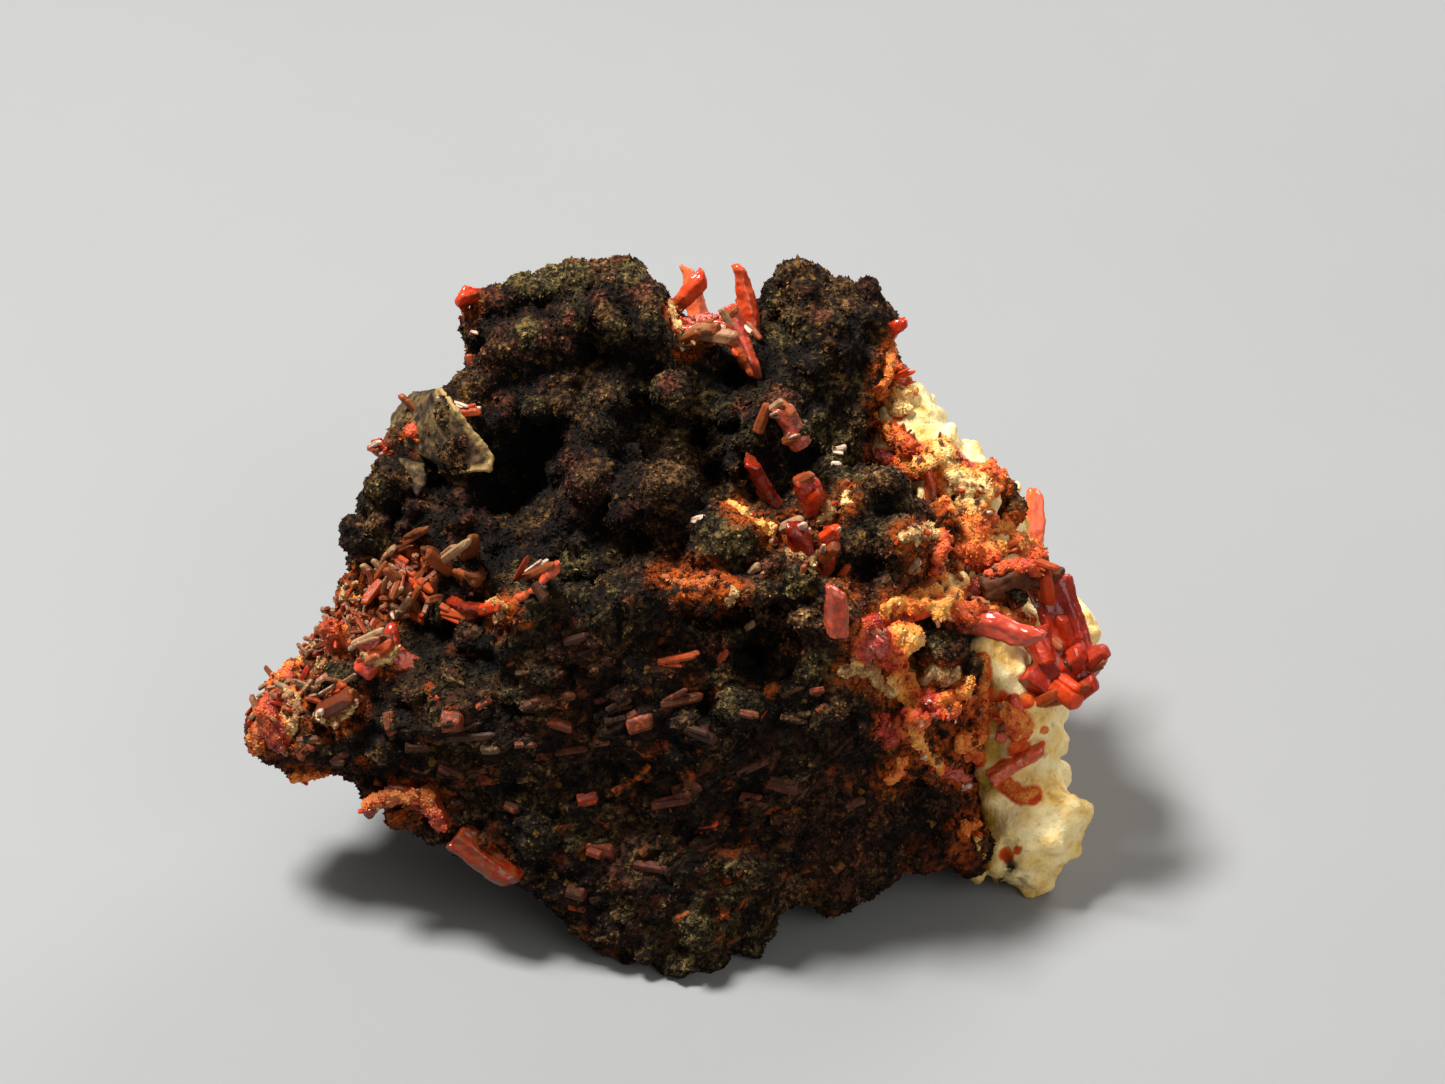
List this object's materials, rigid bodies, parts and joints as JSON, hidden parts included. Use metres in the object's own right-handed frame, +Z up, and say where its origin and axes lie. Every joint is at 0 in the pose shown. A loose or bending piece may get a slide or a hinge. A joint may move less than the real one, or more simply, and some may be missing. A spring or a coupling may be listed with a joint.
{
  "type": "crocoite cluster",
  "caption": "Loose mineral specimen: orange-red crocoite prisms on a lump of black porous gossan with a pale limonite side, resting on a flat break.",
  "frame": {"origin": "middle of the footprint box, on the plane that the specimen rests on", "axes": "+Z up, +X to the right along the longest side, the show side faces -Y and up"},
  "size_m": [0.0456, 0.0291, 0.0311],
  "materials": {
    "gossan": "matte",
    "limonite": "matte",
    "crocoite_red": "gloss",
    "crocoite_orange": "gloss",
    "crocoite_brown": "gloss"
  },
  "bodies": {
    "root": {"black_gossan": "gossan", "pale_limonite": "limonite", "valley_crossing_prism": "crocoite_red", "knob_pink_crystal": "crocoite_red", "red_blade": "crocoite_red", "pink_block": "crocoite_red", "round_red_crystal": "crocoite_red", "small_red_block": "crocoite_red", "pink_red_crystal": "crocoite_red", "long_red_prism": "crocoite_red", "right_edge_cluster": "crocoite_red", "arch_left_crystal": "crocoite_red", "arch_inner_crystal": "crocoite_red", "band_red_crystal": "crocoite_red", "band_pink_crystal": "crocoite_red", "shoulder_red_tip": "crocoite_red", "shoulder_block": "crocoite_red", "valley_leaning_prism": "crocoite_orange", "valley_upright_prism": "crocoite_orange", "valley_far_prism": "crocoite_orange", "top_left_cap": "crocoite_orange", "ledge_left_prism": "crocoite_orange", "spray_curved_rod": "crocoite_orange", "shoulder_orange_crystal": "crocoite_orange", "lip_rim_crystal": "crocoite_orange", "lower_lip_prism": "crocoite_orange", "orange_rod": "crocoite_orange", "limonite_orange_crystal": "crocoite_orange", "limonite_red_arrow": "crocoite_orange", "arch_crystal": "crocoite_orange", "back_salmon_prism": "crocoite_orange", "wing_edge_crystal": "crocoite_orange", "right_mass_tooth": "crocoite_orange", "spray_thin_rod": "crocoite_brown", "spray_pink_rod": "crocoite_brown", "spray_upright_rod": "crocoite_brown", "spray_short_rod": "crocoite_brown", "shoulder_rod": "crocoite_brown", "wing_glint_crystal": "crocoite_brown", "brown_wedge_crystal": "crocoite_brown"}
  },
  "joints": []
}
